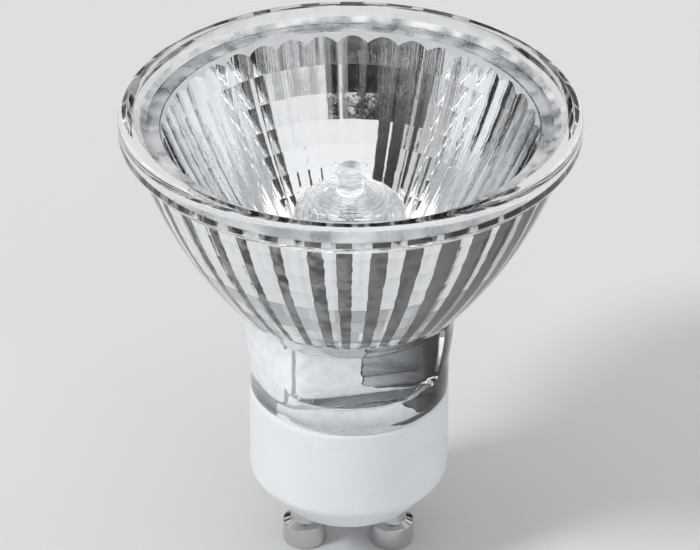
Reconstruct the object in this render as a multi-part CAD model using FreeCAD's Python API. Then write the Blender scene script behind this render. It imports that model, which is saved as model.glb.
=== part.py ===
import FreeCAD, Part

import math
import os

# A mains reflector lamp with a two-pin twist-lock cap, standing on its pins. Millimetres, +Z up
# along the lamp's axis, origin on that axis at the ends of the pins. The pins lie along X.

# Contact pins
PIN_PITCH = 10.0
PIN_HEAD_RADIUS = 2.5
PIN_HEAD_HEIGHT = 3.05
PIN_HEAD_ROUND = 0.3
PIN_HEAD_CONE = 0.35
PIN_NECK_RADIUS = 1.6
PIN_NECK_LENGTH = 4.2
PIN_HOLE_CLEARANCE = 0.1
PIN_BORE_RADIUS = 0.6
PIN_BORE_DEPTH = 9.6
RIVET_LIP_RADIUS = 2.3
RIVET_LIP_HEIGHT = 0.5
WASHER_RADIUS = 3.0
WASHER_THICKNESS = 0.4
WASHER_CLEARANCE = 0.1

# Ceramic base, a cup with its floor down
BASE_HEIGHT = 14.75
BASE_WALL = 1.5
BASE_FLOOR = 3.2
FOOT_MARGIN = 1.3
BASE_CHAMFER_HEIGHT = 3.75
BASE_EDGE_ROUND = 0.5
BASE_LIP_ROUND = 0.5
RECESS_CHAMFER = 1.6
WASHER_MARGIN = 0.1

# Neck of the pressed glass reflector: spigot, collar and the two moulded flats
SPIGOT_LENGTH = 5.0
CEMENT_GAP = 0.5
COLLAR_STEP = 0.05
COLLAR_HEIGHT = 3.4
COLLAR_EDGE = 0.2
NECK_HEIGHT = 10.6
NECK_WIDENING = 0.65
NECK_FLARE = 0.1
NECK_TURN = 12.7
FLAT_WALL = 2.7
FLAT_TOP_MARGIN = 0.1
FLAT_CORNER_ROUND = 0.6
SLOT_END_CLEARANCE = 1.5
SLOT_SIDE_CLEARANCE = 3.0
SLOT_CORNER_ROUND = 2.0

# Bowl and rim of the reflector
BOWL_HEIGHT = 20.6
BOWL_BULGE = 1.27
RIM_RADIUS = 25.0
RIM_HEIGHT = 3.7
RIM_OVERHANG = 1.5
RIM_SIDE = 1.2
RIM_TOP_ROUND = 1.0
RIM_UNDER_BULGE = 0.15
RIM_LAND = 0.7
RIM_BEVEL_WIDTH = 0.8

# Mirror flutes pressed into the bowl
FLUTES = 36
FLUTE_ROWS = 8
FLUTE_ROW_RATIO = 0.93
FLUTE_TURN = 4.5
FLUTE_DEPTH = 0.2
FLUTE_BULGE = 1.4
LEDGE_WIDTH = 2.05
MOUTH_DEPTH = 1.1
MOUTH_TAPER = 0.15
MOUTH_STEP = 0.1
FLOOR_SHELF = 2.35
FLOOR_THICKNESS = 2.8

# Cover glass and the bead that holds it
LENS_THICKNESS = 1.2
LENS_INSET = 1.3
LENS_EDGE = 0.15
BEAD_WIDTH = 0.25
BEAD_RISE = 0.35
BEAD_LAP = 0.35

# Quartz capsule
CAPSULE_RADIUS = 6.25
CAPSULE_WALL = 0.95
CAPSULE_FLOOR = 1.0
CAPSULE_SEAT_GAP = 0.3
CAPSULE_SHOULDER = 1.7
CAPSULE_TUBE = 4.3
CAPSULE_DOME = 3.4
TIP_RADIUS = 1.4
TIP_HEIGHT = 4.2
TIP_ROUND = 0.9
PINCH_WIDTH = 11.0
PINCH_THICKNESS = 3.2
PINCH_LENGTH = 12.7
PINCH_ROUND = 0.7
PINCH_OVERLAP = 0.8

# Wires and foils in the capsule
FOIL_WIDTH = 2.2
FOIL_THICKNESS = 0.1
FOIL_LENGTH = 7.0
FOIL_MARGIN = 1.5
FOIL_ABOVE_PINCH_END = 3.0
WELD_LAP = 1.2
INNER_LEAD_RADIUS = 0.3
INNER_LEAD_RISE = 1.6
FILAMENT_RADIUS = 0.45
FILAMENT_STUB = 0.7
FILAMENT_HEADROOM = 1.0
FILAMENT_BEND = 1.0
FILAMENT_FOOT_BEND = 0.7
SUPPORT_RADIUS = 0.2
SUPPORT_GAP = 0.1
SUPPORT_ANCHOR = 2.5
SUPPORT_HOOK_TAIL = 0.5

# Cements, outer leads, sleeve and fuse
CEMENT_GRIP = 5.0
CEMENT_BELOW_PINCH = 3.5
OUTER_LEAD_RADIUS = 0.4
LEAD_BEND = 1.5
LEAD_BEND_BELOW_CEMENT = 1.0
LEAD_BEND_ABOVE_PIN = 1.6
SLEEVE_CLEARANCE = 0.15
SLEEVE_WALL = 0.4
SLEEVE_END_GAP = 0.3
FUSE_RADIUS = 0.9
FUSE_END_GAP = 0.3
FUSE_END_ROUND = 0.4

# Levels up the axis
base_bottom = PIN_HEAD_HEIGHT + PIN_NECK_LENGTH
base_floor = base_bottom + BASE_FLOOR
base_top = base_bottom + BASE_HEIGHT
spigot_bottom = base_top - SPIGOT_LENGTH
shelf = base_top + COLLAR_HEIGHT
neck_top = base_top + NECK_HEIGHT
bowl_top = neck_top + BOWL_HEIGHT
rim_top = bowl_top + RIM_HEIGHT
lens_top = rim_top - LENS_INSET
ledge = lens_top - LENS_THICKNESS
mirror_top = ledge - MOUTH_DEPTH
bowl_floor = neck_top + FLOOR_THICKNESS
capsule_bottom = bowl_floor + CAPSULE_SEAT_GAP
capsule_tube_bottom = capsule_bottom + CAPSULE_SHOULDER
capsule_tube_top = capsule_tube_bottom + CAPSULE_TUBE
capsule_top = capsule_tube_top + CAPSULE_DOME
pinch_bottom = capsule_bottom + PINCH_OVERLAP - PINCH_LENGTH
cement_top = pinch_bottom + CEMENT_GRIP
cement_bottom = pinch_bottom - CEMENT_BELOW_PINCH
foil_bottom = pinch_bottom + FOIL_ABOVE_PINCH_END
foil_top = foil_bottom + FOIL_LENGTH
cavity_bottom = capsule_bottom + CAPSULE_FLOOR
inner_lead_top = cavity_bottom + INNER_LEAD_RISE
cavity_top = capsule_top - CAPSULE_WALL
pin_top = base_floor + WASHER_THICKNESS + RIVET_LIP_HEIGHT

# Radii of the cap, outwards from the pins
pin_hole_radius = PIN_NECK_RADIUS + PIN_HOLE_CLEARANCE
foot_radius = PIN_PITCH / 2 + pin_hole_radius + FOOT_MARGIN
recess_floor_radius = PIN_PITCH / 2 + WASHER_RADIUS + WASHER_MARGIN
recess_radius = recess_floor_radius + RECESS_CHAMFER
base_radius = recess_radius + BASE_WALL
spigot_radius = recess_radius - CEMENT_GAP
collar_radius = base_radius - COLLAR_STEP
neck_top_radius = collar_radius + NECK_WIDENING

# The neck's slot round the pinch, and the flats that follow it
slot_width = PINCH_WIDTH + 2 * SLOT_END_CLEARANCE
slot_depth = PINCH_THICKNESS + 2 * SLOT_SIDE_CLEARANCE
slot_corner = math.hypot(slot_width / 2 - SLOT_CORNER_ROUND, slot_depth / 2 - SLOT_CORNER_ROUND)
slot_reach = slot_corner + SLOT_CORNER_ROUND
flat_distance = slot_depth / 2 + FLAT_WALL
foil_spacing = PINCH_WIDTH - 2 * FOIL_MARGIN - FOIL_WIDTH

# Radii of the front, inwards from the rim
bowl_top_radius = RIM_RADIUS - RIM_OVERHANG
land_radius = RIM_RADIUS - RIM_TOP_ROUND
bevel_radius = land_radius - RIM_LAND
lens_recess_radius = bevel_radius - RIM_BEVEL_WIDTH
lens_radius = lens_recess_radius - BEAD_WIDTH
mouth_radius = lens_recess_radius - LEDGE_WIDTH
mouth_foot_radius = mouth_radius - MOUTH_TAPER
mirror_radius = mouth_foot_radius - MOUTH_STEP - FLUTE_DEPTH
floor_radius = slot_reach + FLOOR_SHELF

# Distances from the plane through the middle of the pinch
inner_lead_offset = FOIL_THICKNESS / 2 + INNER_LEAD_RADIUS
outer_lead_offset = FOIL_THICKNESS / 2 + OUTER_LEAD_RADIUS
hook_radius = FILAMENT_RADIUS + SUPPORT_GAP + SUPPORT_RADIUS
filament_top = cavity_top - FILAMENT_HEADROOM - SUPPORT_RADIUS - hook_radius

AXIS = FreeCAD.Vector(0, 0, 1)
ORIGIN = FreeCAD.Vector(0, 0, 0)


def at(radius, height):
    """A point of a section that is turned about the lamp's axis."""
    return FreeCAD.Vector(radius, 0, height)


def line(start, end):
    return Part.LineSegment(start, end).toShape()


def arc(start, middle, end):
    return Part.Arc(start, middle, end).toShape()


def bowed(start, end, bulge):
    """An arc from start to end in the XZ plane, bulging to the right of the way it runs."""
    chord = end - start
    side = FreeCAD.Vector(chord.z, 0, -chord.x).normalize()
    return arc(start, (start + end) * 0.5 + side * bulge, end)


def corner(start, end, centre):
    """A round corner from start to end about centre."""
    radius = (start - centre).Length
    outward = ((start - centre) + (end - centre)).normalize()
    return arc(start, centre + outward * radius, end)


def turned(edges):
    """The solid that a closed section makes when it is turned about the lamp's axis."""
    face = Part.Face(Part.Wire(edges))
    return face.revolve(ORIGIN, AXIS, 360)


def turned_outline(points):
    """A turned solid whose section has straight sides between the points."""
    ends = points[1:] + points[:1]
    return turned([line(start, end) for start, end in zip(points, ends)])


def rod(radius, bottom, top, x=0.0, y=0.0):
    return Part.makeCylinder(radius, top - bottom, FreeCAD.Vector(x, y, bottom))


def rounded_bar(width, depth, corner_radius, bottom, top):
    """An upright bar of width by depth about the axis, with its four upright edges rounded."""
    bar = Part.makeBox(width, depth, top - bottom, FreeCAD.Vector(-width / 2, -depth / 2, bottom))
    upright = [edge for edge in bar.Edges if abs(edge.tangentAt(edge.FirstParameter).z) > 0.99]
    return bar.makeFillet(corner_radius, upright)


def in_neck(shape):
    """Turns a shape from the X axis to the neck's own width, which the pinch lies along."""
    return shape.rotate(ORIGIN, AXIS, NECK_TURN)


def wire_along(points, bends, radius):
    """A round wire along straight runs, with an arc of the given bend radius at each inner point."""
    edges = []
    start = points[0]
    for before, turn, after, bend in zip(points, points[1:], points[2:], bends):
        come = (turn - before).normalize()
        go = (after - turn).normalize()
        half_turn = come.getAngle(go) / 2
        reach = bend * math.tan(half_turn)
        enter = turn - come * reach
        leave = turn + go * reach
        middle_way = (go - come).normalize()
        centre = turn + middle_way * (bend / math.cos(half_turn))
        edges.append(line(start, enter))
        edges.append(corner(enter, leave, centre))
        start = leave
    edges.append(line(start, points[-1]))
    path = Part.Wire(edges)
    section = Part.Wire([Part.makeCircle(radius, points[0], points[1] - points[0])])
    return path.makePipeShell([section], True, False)


def contact_pin(side):
    """A turned pin: head, neck through the base, and a lip riveted over its washer."""
    lip_bottom = pin_top - RIVET_LIP_HEIGHT
    cone_bottom = PIN_HEAD_HEIGHT - PIN_HEAD_CONE
    round_centre = at(PIN_HEAD_RADIUS - PIN_HEAD_ROUND, PIN_HEAD_ROUND)
    foot_edge = at(PIN_HEAD_RADIUS - PIN_HEAD_ROUND, 0)
    head_side = at(PIN_HEAD_RADIUS, PIN_HEAD_ROUND)
    bore_bottom = pin_top - PIN_BORE_DEPTH
    edges = [
        line(at(0, 0), foot_edge),
        corner(foot_edge, head_side, round_centre),
        line(head_side, at(PIN_HEAD_RADIUS, cone_bottom)),
        line(at(PIN_HEAD_RADIUS, cone_bottom), at(PIN_NECK_RADIUS, PIN_HEAD_HEIGHT)),
        line(at(PIN_NECK_RADIUS, PIN_HEAD_HEIGHT), at(PIN_NECK_RADIUS, lip_bottom)),
        line(at(PIN_NECK_RADIUS, lip_bottom), at(RIVET_LIP_RADIUS, lip_bottom)),
        line(at(RIVET_LIP_RADIUS, lip_bottom), at(PIN_NECK_RADIUS, pin_top)),
        line(at(PIN_NECK_RADIUS, pin_top), at(PIN_BORE_RADIUS, pin_top)),
        line(at(PIN_BORE_RADIUS, pin_top), at(PIN_BORE_RADIUS, bore_bottom)),
        line(at(PIN_BORE_RADIUS, bore_bottom), at(0, bore_bottom)),
        line(at(0, bore_bottom), at(0, 0)),
    ]
    pin = turned(edges)
    pin.translate(FreeCAD.Vector(side * PIN_PITCH / 2, 0, 0))
    return pin


def pin_washer(side):
    """A flat steel ring between the ceramic floor and the riveted lip."""
    x = side * PIN_PITCH / 2
    top = base_floor + WASHER_THICKNESS
    ring = rod(WASHER_RADIUS, base_floor, top, x)
    return ring.cut(rod(PIN_NECK_RADIUS + WASHER_CLEARANCE, base_floor, top, x))


def ceramic_base():
    """A cup of white ceramic with a chamfered foot, and a hole in its floor for each pin."""
    body_bottom = base_bottom + BASE_CHAMFER_HEIGHT
    lip = base_top - BASE_LIP_ROUND
    lip_inner = at(base_radius - BASE_LIP_ROUND, base_top)
    edges = [
        line(at(0, base_bottom), at(foot_radius, base_bottom)),
        line(at(foot_radius, base_bottom), at(base_radius, body_bottom)),
        line(at(base_radius, body_bottom), at(base_radius, lip)),
        corner(at(base_radius, lip), lip_inner, at(base_radius - BASE_LIP_ROUND, lip)),
        line(lip_inner, at(recess_radius, base_top)),
        line(at(recess_radius, base_top), at(recess_radius, base_floor + RECESS_CHAMFER)),
        line(at(recess_radius, base_floor + RECESS_CHAMFER), at(recess_floor_radius, base_floor)),
        line(at(recess_floor_radius, base_floor), at(0, base_floor)),
        line(at(0, base_floor), at(0, base_bottom)),
    ]
    cup = turned(edges)
    soft = [edge for edge in cup.Edges if is_foot_edge(edge, body_bottom)]
    cup = cup.makeFillet(BASE_EDGE_ROUND, soft)
    for side in (-1, 1):
        cup = cup.cut(rod(pin_hole_radius, base_bottom, base_floor, side * PIN_PITCH / 2))
    return cup


def is_foot_edge(edge, body_bottom):
    """Whether an edge is the ring at the top or the bottom of the base's chamfer."""
    if not isinstance(edge.Curve, Part.Circle):
        return False
    ring = (edge.Curve.Radius, edge.Curve.Center.z)
    rings = [(foot_radius, base_bottom), (base_radius, body_bottom)]
    return any(math.dist(ring, wanted) < 1e-6 for wanted in rings)


def reflector_blank():
    """The reflector turned solid, with the rim's recess for the cover glass and the mirror's mouth."""
    collar_edge = collar_radius - COLLAR_EDGE
    side_top = rim_top - RIM_TOP_ROUND
    side_bottom = side_top - RIM_SIDE
    land_edge = at(land_radius, rim_top)
    edges = [
        line(at(0, spigot_bottom), at(spigot_radius, spigot_bottom)),
        line(at(spigot_radius, spigot_bottom), at(spigot_radius, base_top)),
        line(at(spigot_radius, base_top), at(collar_edge, base_top)),
        line(at(collar_edge, base_top), at(collar_radius, base_top + COLLAR_EDGE)),
        line(at(collar_radius, base_top + COLLAR_EDGE), at(collar_radius, shelf)),
        bowed(at(collar_radius, shelf), at(neck_top_radius, neck_top), NECK_FLARE),
        bowed(at(neck_top_radius, neck_top), at(bowl_top_radius, bowl_top), BOWL_BULGE),
        bowed(at(bowl_top_radius, bowl_top), at(RIM_RADIUS, side_bottom), RIM_UNDER_BULGE),
        line(at(RIM_RADIUS, side_bottom), at(RIM_RADIUS, side_top)),
        corner(at(RIM_RADIUS, side_top), land_edge, at(land_radius, side_top)),
        line(land_edge, at(bevel_radius, rim_top)),
        line(at(bevel_radius, rim_top), at(lens_recess_radius, lens_top)),
        line(at(lens_recess_radius, lens_top), at(lens_recess_radius, ledge)),
        line(at(lens_recess_radius, ledge), at(mouth_radius, ledge)),
        line(at(mouth_radius, ledge), at(mouth_foot_radius, mirror_top)),
        line(at(mouth_foot_radius, mirror_top), at(0, mirror_top)),
        line(at(0, mirror_top), at(0, spigot_bottom)),
    ]
    return turned(edges)


def flute_levels():
    """Radius and height of each row's edge on the mirror's arc, from its mouth down to the floor.

    Each row's share of the arc is FLUTE_ROW_RATIO times the share of the row above it.
    """
    ridge = bowed(at(floor_radius, bowl_floor), at(mirror_radius, mirror_top), FLUTE_BULGE).Curve
    shares = [FLUTE_ROW_RATIO**row for row in range(FLUTE_ROWS)]
    first = ridge.parameter(at(mirror_radius, mirror_top))
    last = ridge.parameter(at(floor_radius, bowl_floor))
    levels = []
    for row in range(FLUTE_ROWS + 1):
        done = sum(shares[:row]) / sum(shares)
        point = ridge.value(first + (last - first) * done)
        levels.append((point.x, point.z))
    return levels


def scalloped_ring(radius, height):
    """A closed wire of FLUTES arcs that bulge outwards between ridges on a circle of the radius."""
    depth = FLUTE_DEPTH * radius / mirror_radius
    step = 360 / FLUTES
    arcs = []
    for flute in range(FLUTES):
        angles = [FLUTE_TURN + step * (flute + share) for share in (0, 0.5, 1)]
        reaches = [radius, radius + depth, radius]
        points = [
            FreeCAD.Vector(
                reach * math.cos(math.radians(angle)),
                reach * math.sin(math.radians(angle)),
                height,
            )
            for reach, angle in zip(reaches, angles)
        ]
        arcs.append(arc(*points))
    return Part.Wire(arcs)


def fluted_hollow():
    """The pressing tool's form: rows of facets, each row a ruled loft between scalloped rings."""
    rings = [scalloped_ring(radius, height) for radius, height in flute_levels()]
    return Part.makeLoft(rings, True, True)


def flat_cutter():
    """The bar that leaves one moulded flat on the neck, with its inner corners rounded."""
    top = neck_top - FLAT_TOP_MARGIN
    reach = 2 * collar_radius
    bar = Part.makeBox(
        2 * reach, reach, top - shelf, FreeCAD.Vector(-reach, -flat_distance - reach, shelf)
    )
    inner = [
        edge
        for edge in bar.Edges
        if abs(edge.tangentAt(edge.FirstParameter).x) > 0.99
        and abs(edge.CenterOfMass.y + flat_distance) < 1e-6
    ]
    return bar.makeFillet(FLAT_CORNER_ROUND, inner)


def glass_reflector():
    """One pressed glass piece: rim, fluted bowl, and a neck with a slot for the capsule."""
    glass = reflector_blank()
    glass = glass.cut(fluted_hollow())
    slot = rounded_bar(slot_width, slot_depth, SLOT_CORNER_ROUND, spigot_bottom, bowl_floor)
    glass = glass.cut(in_neck(slot))
    for half_turn in (0, 180):
        cutter = in_neck(flat_cutter())
        glass = glass.cut(cutter.rotate(ORIGIN, AXIS, half_turn))
    return glass


def front_lens():
    """A flat round cover glass with its edges eased."""
    return turned_outline(
        [
            at(0, ledge),
            at(lens_radius - LENS_EDGE, ledge),
            at(lens_radius, ledge + LENS_EDGE),
            at(lens_radius, lens_top - LENS_EDGE),
            at(lens_radius - LENS_EDGE, lens_top),
            at(0, lens_top),
        ]
    )


def lens_seal():
    """The bead of silicone between the cover glass and the rim, smoothed up onto the bevel."""
    climb = BEAD_RISE * RIM_BEVEL_WIDTH / LENS_INSET
    return turned_outline(
        [
            at(lens_radius, ledge + LENS_EDGE),
            at(lens_radius, ledge),
            at(lens_recess_radius, ledge),
            at(lens_recess_radius, lens_top),
            at(lens_recess_radius + climb, lens_top + BEAD_RISE),
            at(lens_radius - BEAD_LAP, lens_top),
            at(lens_radius - LENS_EDGE, lens_top),
            at(lens_radius, lens_top - LENS_EDGE),
        ]
    )


def dome_arc(radius, height, centre_height):
    """A quarter of an ellipse, from its side at the tube up to the axis."""
    curve = Part.BezierCurve()
    curve.setPoles(
        [at(radius, centre_height), at(radius, centre_height + height), at(0, centre_height + height)]
    )
    curve.setWeight(2, math.sqrt(0.5))
    return curve.toShape()


def capsule_body():
    """The blown outside of the quartz capsule: rounded foot, tube, dome and sealed-off tip."""
    foot = at(CAPSULE_RADIUS - CAPSULE_SHOULDER, capsule_bottom)
    tube_foot = at(CAPSULE_RADIUS, capsule_tube_bottom)
    shoulder_centre = at(CAPSULE_RADIUS - CAPSULE_SHOULDER, capsule_tube_bottom)
    body = turned(
        [
            line(at(0, capsule_bottom), foot),
            corner(foot, tube_foot, shoulder_centre),
            line(tube_foot, at(CAPSULE_RADIUS, capsule_tube_top)),
            dome_arc(CAPSULE_RADIUS, CAPSULE_DOME, capsule_tube_top),
            line(at(0, capsule_top), at(0, capsule_bottom)),
        ]
    )
    tip_top = capsule_top + TIP_HEIGHT
    tip_side = at(TIP_RADIUS, tip_top - TIP_ROUND)
    tip_end = at(TIP_RADIUS - TIP_ROUND, tip_top)
    tip = turned(
        [
            line(at(0, capsule_tube_top), at(TIP_RADIUS, capsule_tube_top)),
            line(at(TIP_RADIUS, capsule_tube_top), tip_side),
            corner(tip_side, tip_end, at(TIP_RADIUS - TIP_ROUND, tip_top - TIP_ROUND)),
            line(tip_end, at(0, tip_top)),
            line(at(0, tip_top), at(0, capsule_tube_top)),
        ]
    )
    return body.fuse(tip)


def capsule_cavity():
    """The gas space: the capsule's outside less its wall, with a rounded floor."""
    radius = CAPSULE_RADIUS - CAPSULE_WALL
    shoulder = CAPSULE_SHOULDER - CAPSULE_WALL
    foot = at(radius - shoulder, cavity_bottom)
    side = at(radius, cavity_bottom + shoulder)
    return turned(
        [
            line(at(0, cavity_bottom), foot),
            corner(foot, side, at(radius - shoulder, cavity_bottom + shoulder)),
            line(side, at(radius, capsule_tube_top)),
            dome_arc(radius, CAPSULE_DOME - CAPSULE_WALL, capsule_tube_top),
            line(at(0, capsule_tube_top + CAPSULE_DOME - CAPSULE_WALL), at(0, cavity_bottom)),
        ]
    )


def pinch():
    """The flat press-sealed foot of the capsule."""
    top = capsule_bottom + PINCH_OVERLAP
    bar = rounded_bar(PINCH_WIDTH, PINCH_THICKNESS, PINCH_ROUND, pinch_bottom, top)
    return in_neck(bar)


def capsule_envelope():
    """Hollow quartz, sealed round its foils, inner and outer leads and filament support."""
    quartz = capsule_body().fuse(pinch()).removeSplitter().cut(capsule_cavity())
    sealed = [foil(-1), foil(1), inner_lead(-1), inner_lead(1), filament_support()]
    sealed += [upper_lead(-1), upper_lead(1)]
    for piece in sealed:
        quartz = quartz.cut(piece)
    return quartz


def foil(side):
    """A strip of molybdenum foil in the pinch, where the quartz seals round the current's way in."""
    x = side * foil_spacing / 2 - FOIL_WIDTH / 2
    corner_point = FreeCAD.Vector(x, -FOIL_THICKNESS / 2, foil_bottom)
    return in_neck(Part.makeBox(FOIL_WIDTH, FOIL_THICKNESS, FOIL_LENGTH, corner_point))


def inner_lead(side):
    """A wire welded on the foil's face, up through the pinch to one end of the filament."""
    x = side * foil_spacing / 2
    lead = rod(INNER_LEAD_RADIUS, foil_top - WELD_LAP, inner_lead_top, x, inner_lead_offset)
    return in_neck(lead)


def filament():
    """The coiled filament's outer form: a foot on each lead and two legs that meet over the hook."""
    foot = foil_spacing / 2
    points = [
        FreeCAD.Vector(-foot, inner_lead_offset, inner_lead_top),
        FreeCAD.Vector(-foot, inner_lead_offset, inner_lead_top + FILAMENT_STUB),
        FreeCAD.Vector(0, inner_lead_offset, filament_top + apex_rise()),
        FreeCAD.Vector(foot, inner_lead_offset, inner_lead_top + FILAMENT_STUB),
        FreeCAD.Vector(foot, inner_lead_offset, inner_lead_top),
    ]
    bends = [FILAMENT_FOOT_BEND, FILAMENT_BEND, FILAMENT_FOOT_BEND]
    return in_neck(wire_along(points, bends, FILAMENT_RADIUS))


def apex_rise():
    """How far the legs' meeting point lies above the middle of the coil where it rounds the hook.

    The legs lean by the angle whose tangent is half their spacing over the height that they climb,
    and the bend passes under their meeting point by its radius over that angle's sine, less itself.
    """
    rise = 0.0
    for _ in range(20):
        climb = filament_top - inner_lead_top - FILAMENT_STUB + rise
        lean = math.atan2(foil_spacing / 2, climb)
        rise = FILAMENT_BEND / math.sin(lean) - FILAMENT_BEND
    return rise


def filament_support():
    """A thin wire anchored in the pinch that rises behind the coil and hooks over its top."""
    behind = inner_lead_offset - hook_radius
    before = inner_lead_offset + hook_radius
    anchor = FreeCAD.Vector(0, behind, cavity_bottom - SUPPORT_ANCHOR)
    shoulder = FreeCAD.Vector(0, behind, filament_top)
    crown = FreeCAD.Vector(0, inner_lead_offset, filament_top + hook_radius)
    drop = FreeCAD.Vector(0, before, filament_top)
    end = FreeCAD.Vector(0, before, filament_top - SUPPORT_HOOK_TAIL)
    path = Part.Wire([line(anchor, shoulder), arc(shoulder, crown, drop), line(drop, end)])
    section = Part.Wire([Part.makeCircle(SUPPORT_RADIUS, anchor, AXIS)])
    return in_neck(path.makePipeShell([section], True, False))


def lead_route(side):
    """The corners of an outer lead's way, from its foil down through the base into its pin."""
    turn = math.radians(NECK_TURN)
    along = FreeCAD.Vector(math.cos(turn), math.sin(turn), 0)
    across = FreeCAD.Vector(-math.sin(turn), math.cos(turn), 0)
    place = along * (side * foil_spacing / 2) + across * outer_lead_offset
    pin = FreeCAD.Vector(side * PIN_PITCH / 2, 0, 0)
    clearance = PIN_BORE_RADIUS - OUTER_LEAD_RADIUS
    return [
        place + AXIS * (foil_bottom + WELD_LAP),
        place + AXIS * (cement_bottom - LEAD_BEND_BELOW_CEMENT),
        pin + AXIS * (pin_top + LEAD_BEND_ABOVE_PIN),
        pin + AXIS * (pin_top - PIN_BORE_DEPTH + clearance),
    ]


def upper_lead(side):
    """The straight stretch of an outer lead that the quartz and the cement close round."""
    foil_end, bend = lead_route(side)[:2]
    return rod(OUTER_LEAD_RADIUS, bend.z, foil_end.z, bend.x, bend.y)


def outer_lead_left():
    """One unbroken wire from the left foil to the bottom of the left pin's bore."""
    return wire_along(lead_route(-1), [LEAD_BEND, LEAD_BEND], OUTER_LEAD_RADIUS)


def slant(side):
    """The middle run of an outer lead's way, between its two bends: its start and its end."""
    before, start, end, after = lead_route(side)
    run = (end - start).normalize()
    reach_in = LEAD_BEND * math.tan((start - before).getAngle(run) / 2)
    reach_out = LEAD_BEND * math.tan(run.getAngle(after - end) / 2)
    return start + run * reach_in, end - run * reach_out


def round_bar(radius, start, end):
    return Part.makeCylinder(radius, (end - start).Length, start, end - start)


def lead_sleeve():
    """An insulating tube slipped over the bare left lead between its two bends."""
    start, end = slant(-1)
    run = (end - start).normalize()
    inner = OUTER_LEAD_RADIUS + SLEEVE_CLEARANCE
    tube = round_bar(inner + SLEEVE_WALL, start + run * SLEEVE_END_GAP, end - run * SLEEVE_END_GAP)
    return tube.cut(round_bar(inner, start, end))


def fuse_body():
    """The fuse's rounded bead, in line with the right lead's slanting run."""
    start, end = slant(1)
    run = (end - start).normalize()
    bead = round_bar(FUSE_RADIUS, start + run * FUSE_END_GAP, end - run * FUSE_END_GAP)
    ends = [edge for edge in bead.Edges if isinstance(edge.Curve, Part.Circle)]
    return bead.makeFillet(FUSE_END_ROUND, ends)


def outer_lead_right():
    """The right foil's lead, which ends where the fuse's bead begins."""
    points = lead_route(1)
    whole = wire_along(points, [LEAD_BEND, LEAD_BEND], OUTER_LEAD_RADIUS)
    start, end = slant(1)
    middle = (start + end) * 0.5
    lead = whole.common(rod(base_radius, middle.z, points[0].z + 1))
    return lead.cut(fuse_body())


def fuse_link():
    """The fuse: its bead, with the tail that runs on from it to the bottom of the right pin."""
    points = lead_route(1)
    whole = wire_along(points, [LEAD_BEND, LEAD_BEND], OUTER_LEAD_RADIUS)
    start, end = slant(1)
    middle = (start + end) * 0.5
    tail = whole.common(rod(base_radius, 0, middle.z))
    return fuse_body().fuse(tail).removeSplitter()


def capsule_cement():
    """White cement that fills the neck's slot round the foot of the pinch and both leads."""
    block = in_neck(
        rounded_bar(slot_width, slot_depth, SLOT_CORNER_ROUND, cement_bottom, cement_top)
    )
    block = block.cut(pinch())
    for side in (-1, 1):
        block = block.cut(upper_lead(side))
    return block


def base_cement():
    """The ring of cement between the glass spigot and the wall of the ceramic cup."""
    outer = rod(recess_radius, spigot_bottom, base_top)
    return outer.cut(rod(spigot_radius, spigot_bottom, base_top))


def all_parts():
    """Every sub-part by its name."""
    return {
        "ceramic_base": ceramic_base(),
        "contact_pin_left": contact_pin(-1),
        "contact_pin_right": contact_pin(1),
        "pin_washer_left": pin_washer(-1),
        "pin_washer_right": pin_washer(1),
        "glass_reflector": glass_reflector(),
        "front_lens": front_lens(),
        "lens_seal": lens_seal(),
        "capsule_envelope": capsule_envelope(),
        "foil_left": foil(-1),
        "foil_right": foil(1),
        "inner_lead_left": inner_lead(-1),
        "inner_lead_right": inner_lead(1),
        "filament": filament(),
        "filament_support": filament_support(),
        "outer_lead_left": outer_lead_left(),
        "outer_lead_right": outer_lead_right(),
        "lead_sleeve": lead_sleeve(),
        "fuse_link": fuse_link(),
        "capsule_cement": capsule_cement(),
        "base_cement": base_cement(),
    }


os.makedirs("parts", exist_ok=True)
for name, shape in all_parts().items():
    if len(shape.Solids) == 1:
        shape = shape.Solids[0]
    bounds = shape.BoundBox
    print(
        f"{name}: {len(shape.Solids)} solid, valid {shape.isValid()}, {shape.Volume:.2f} mm3, "
        f"z {bounds.ZMin:.2f} to {bounds.ZMax:.2f}"
    )
    shape.exportStep(f"parts/{name}.step")
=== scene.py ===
import math

import bmesh
import bpy
import numpy as np
from mathutils import Matrix, Vector


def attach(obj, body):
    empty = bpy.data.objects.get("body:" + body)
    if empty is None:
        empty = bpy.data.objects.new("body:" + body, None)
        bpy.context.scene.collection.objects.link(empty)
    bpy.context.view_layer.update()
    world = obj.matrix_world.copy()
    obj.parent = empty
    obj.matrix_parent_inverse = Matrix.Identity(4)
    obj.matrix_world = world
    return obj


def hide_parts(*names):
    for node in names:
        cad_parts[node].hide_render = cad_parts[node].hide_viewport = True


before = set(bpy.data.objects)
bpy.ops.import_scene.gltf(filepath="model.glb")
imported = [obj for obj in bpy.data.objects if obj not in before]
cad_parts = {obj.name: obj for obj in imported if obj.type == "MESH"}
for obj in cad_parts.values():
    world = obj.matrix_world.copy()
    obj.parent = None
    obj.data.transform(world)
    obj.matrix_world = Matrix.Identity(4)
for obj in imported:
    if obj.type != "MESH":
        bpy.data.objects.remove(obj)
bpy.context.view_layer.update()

# Studio: a pale floor and large softboxes with dark gaps between them, as glass and mirrors are lit.
# The camera looks at the lamp from 32 degrees above, with a long lens.
camera_tilt = 32.3
camera_distance = 0.420
camera_roll = 0.3
camera_lens = 195.84
camera_sensor = 36.0
aim = Vector((0.00004, 0.0, 0.03579))
floor_radius = 1.20
floor_colour = (0.66, 0.67, 0.68)
backdrop_colour = (0.70, 0.71, 0.72)
room_level = 0.35
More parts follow.
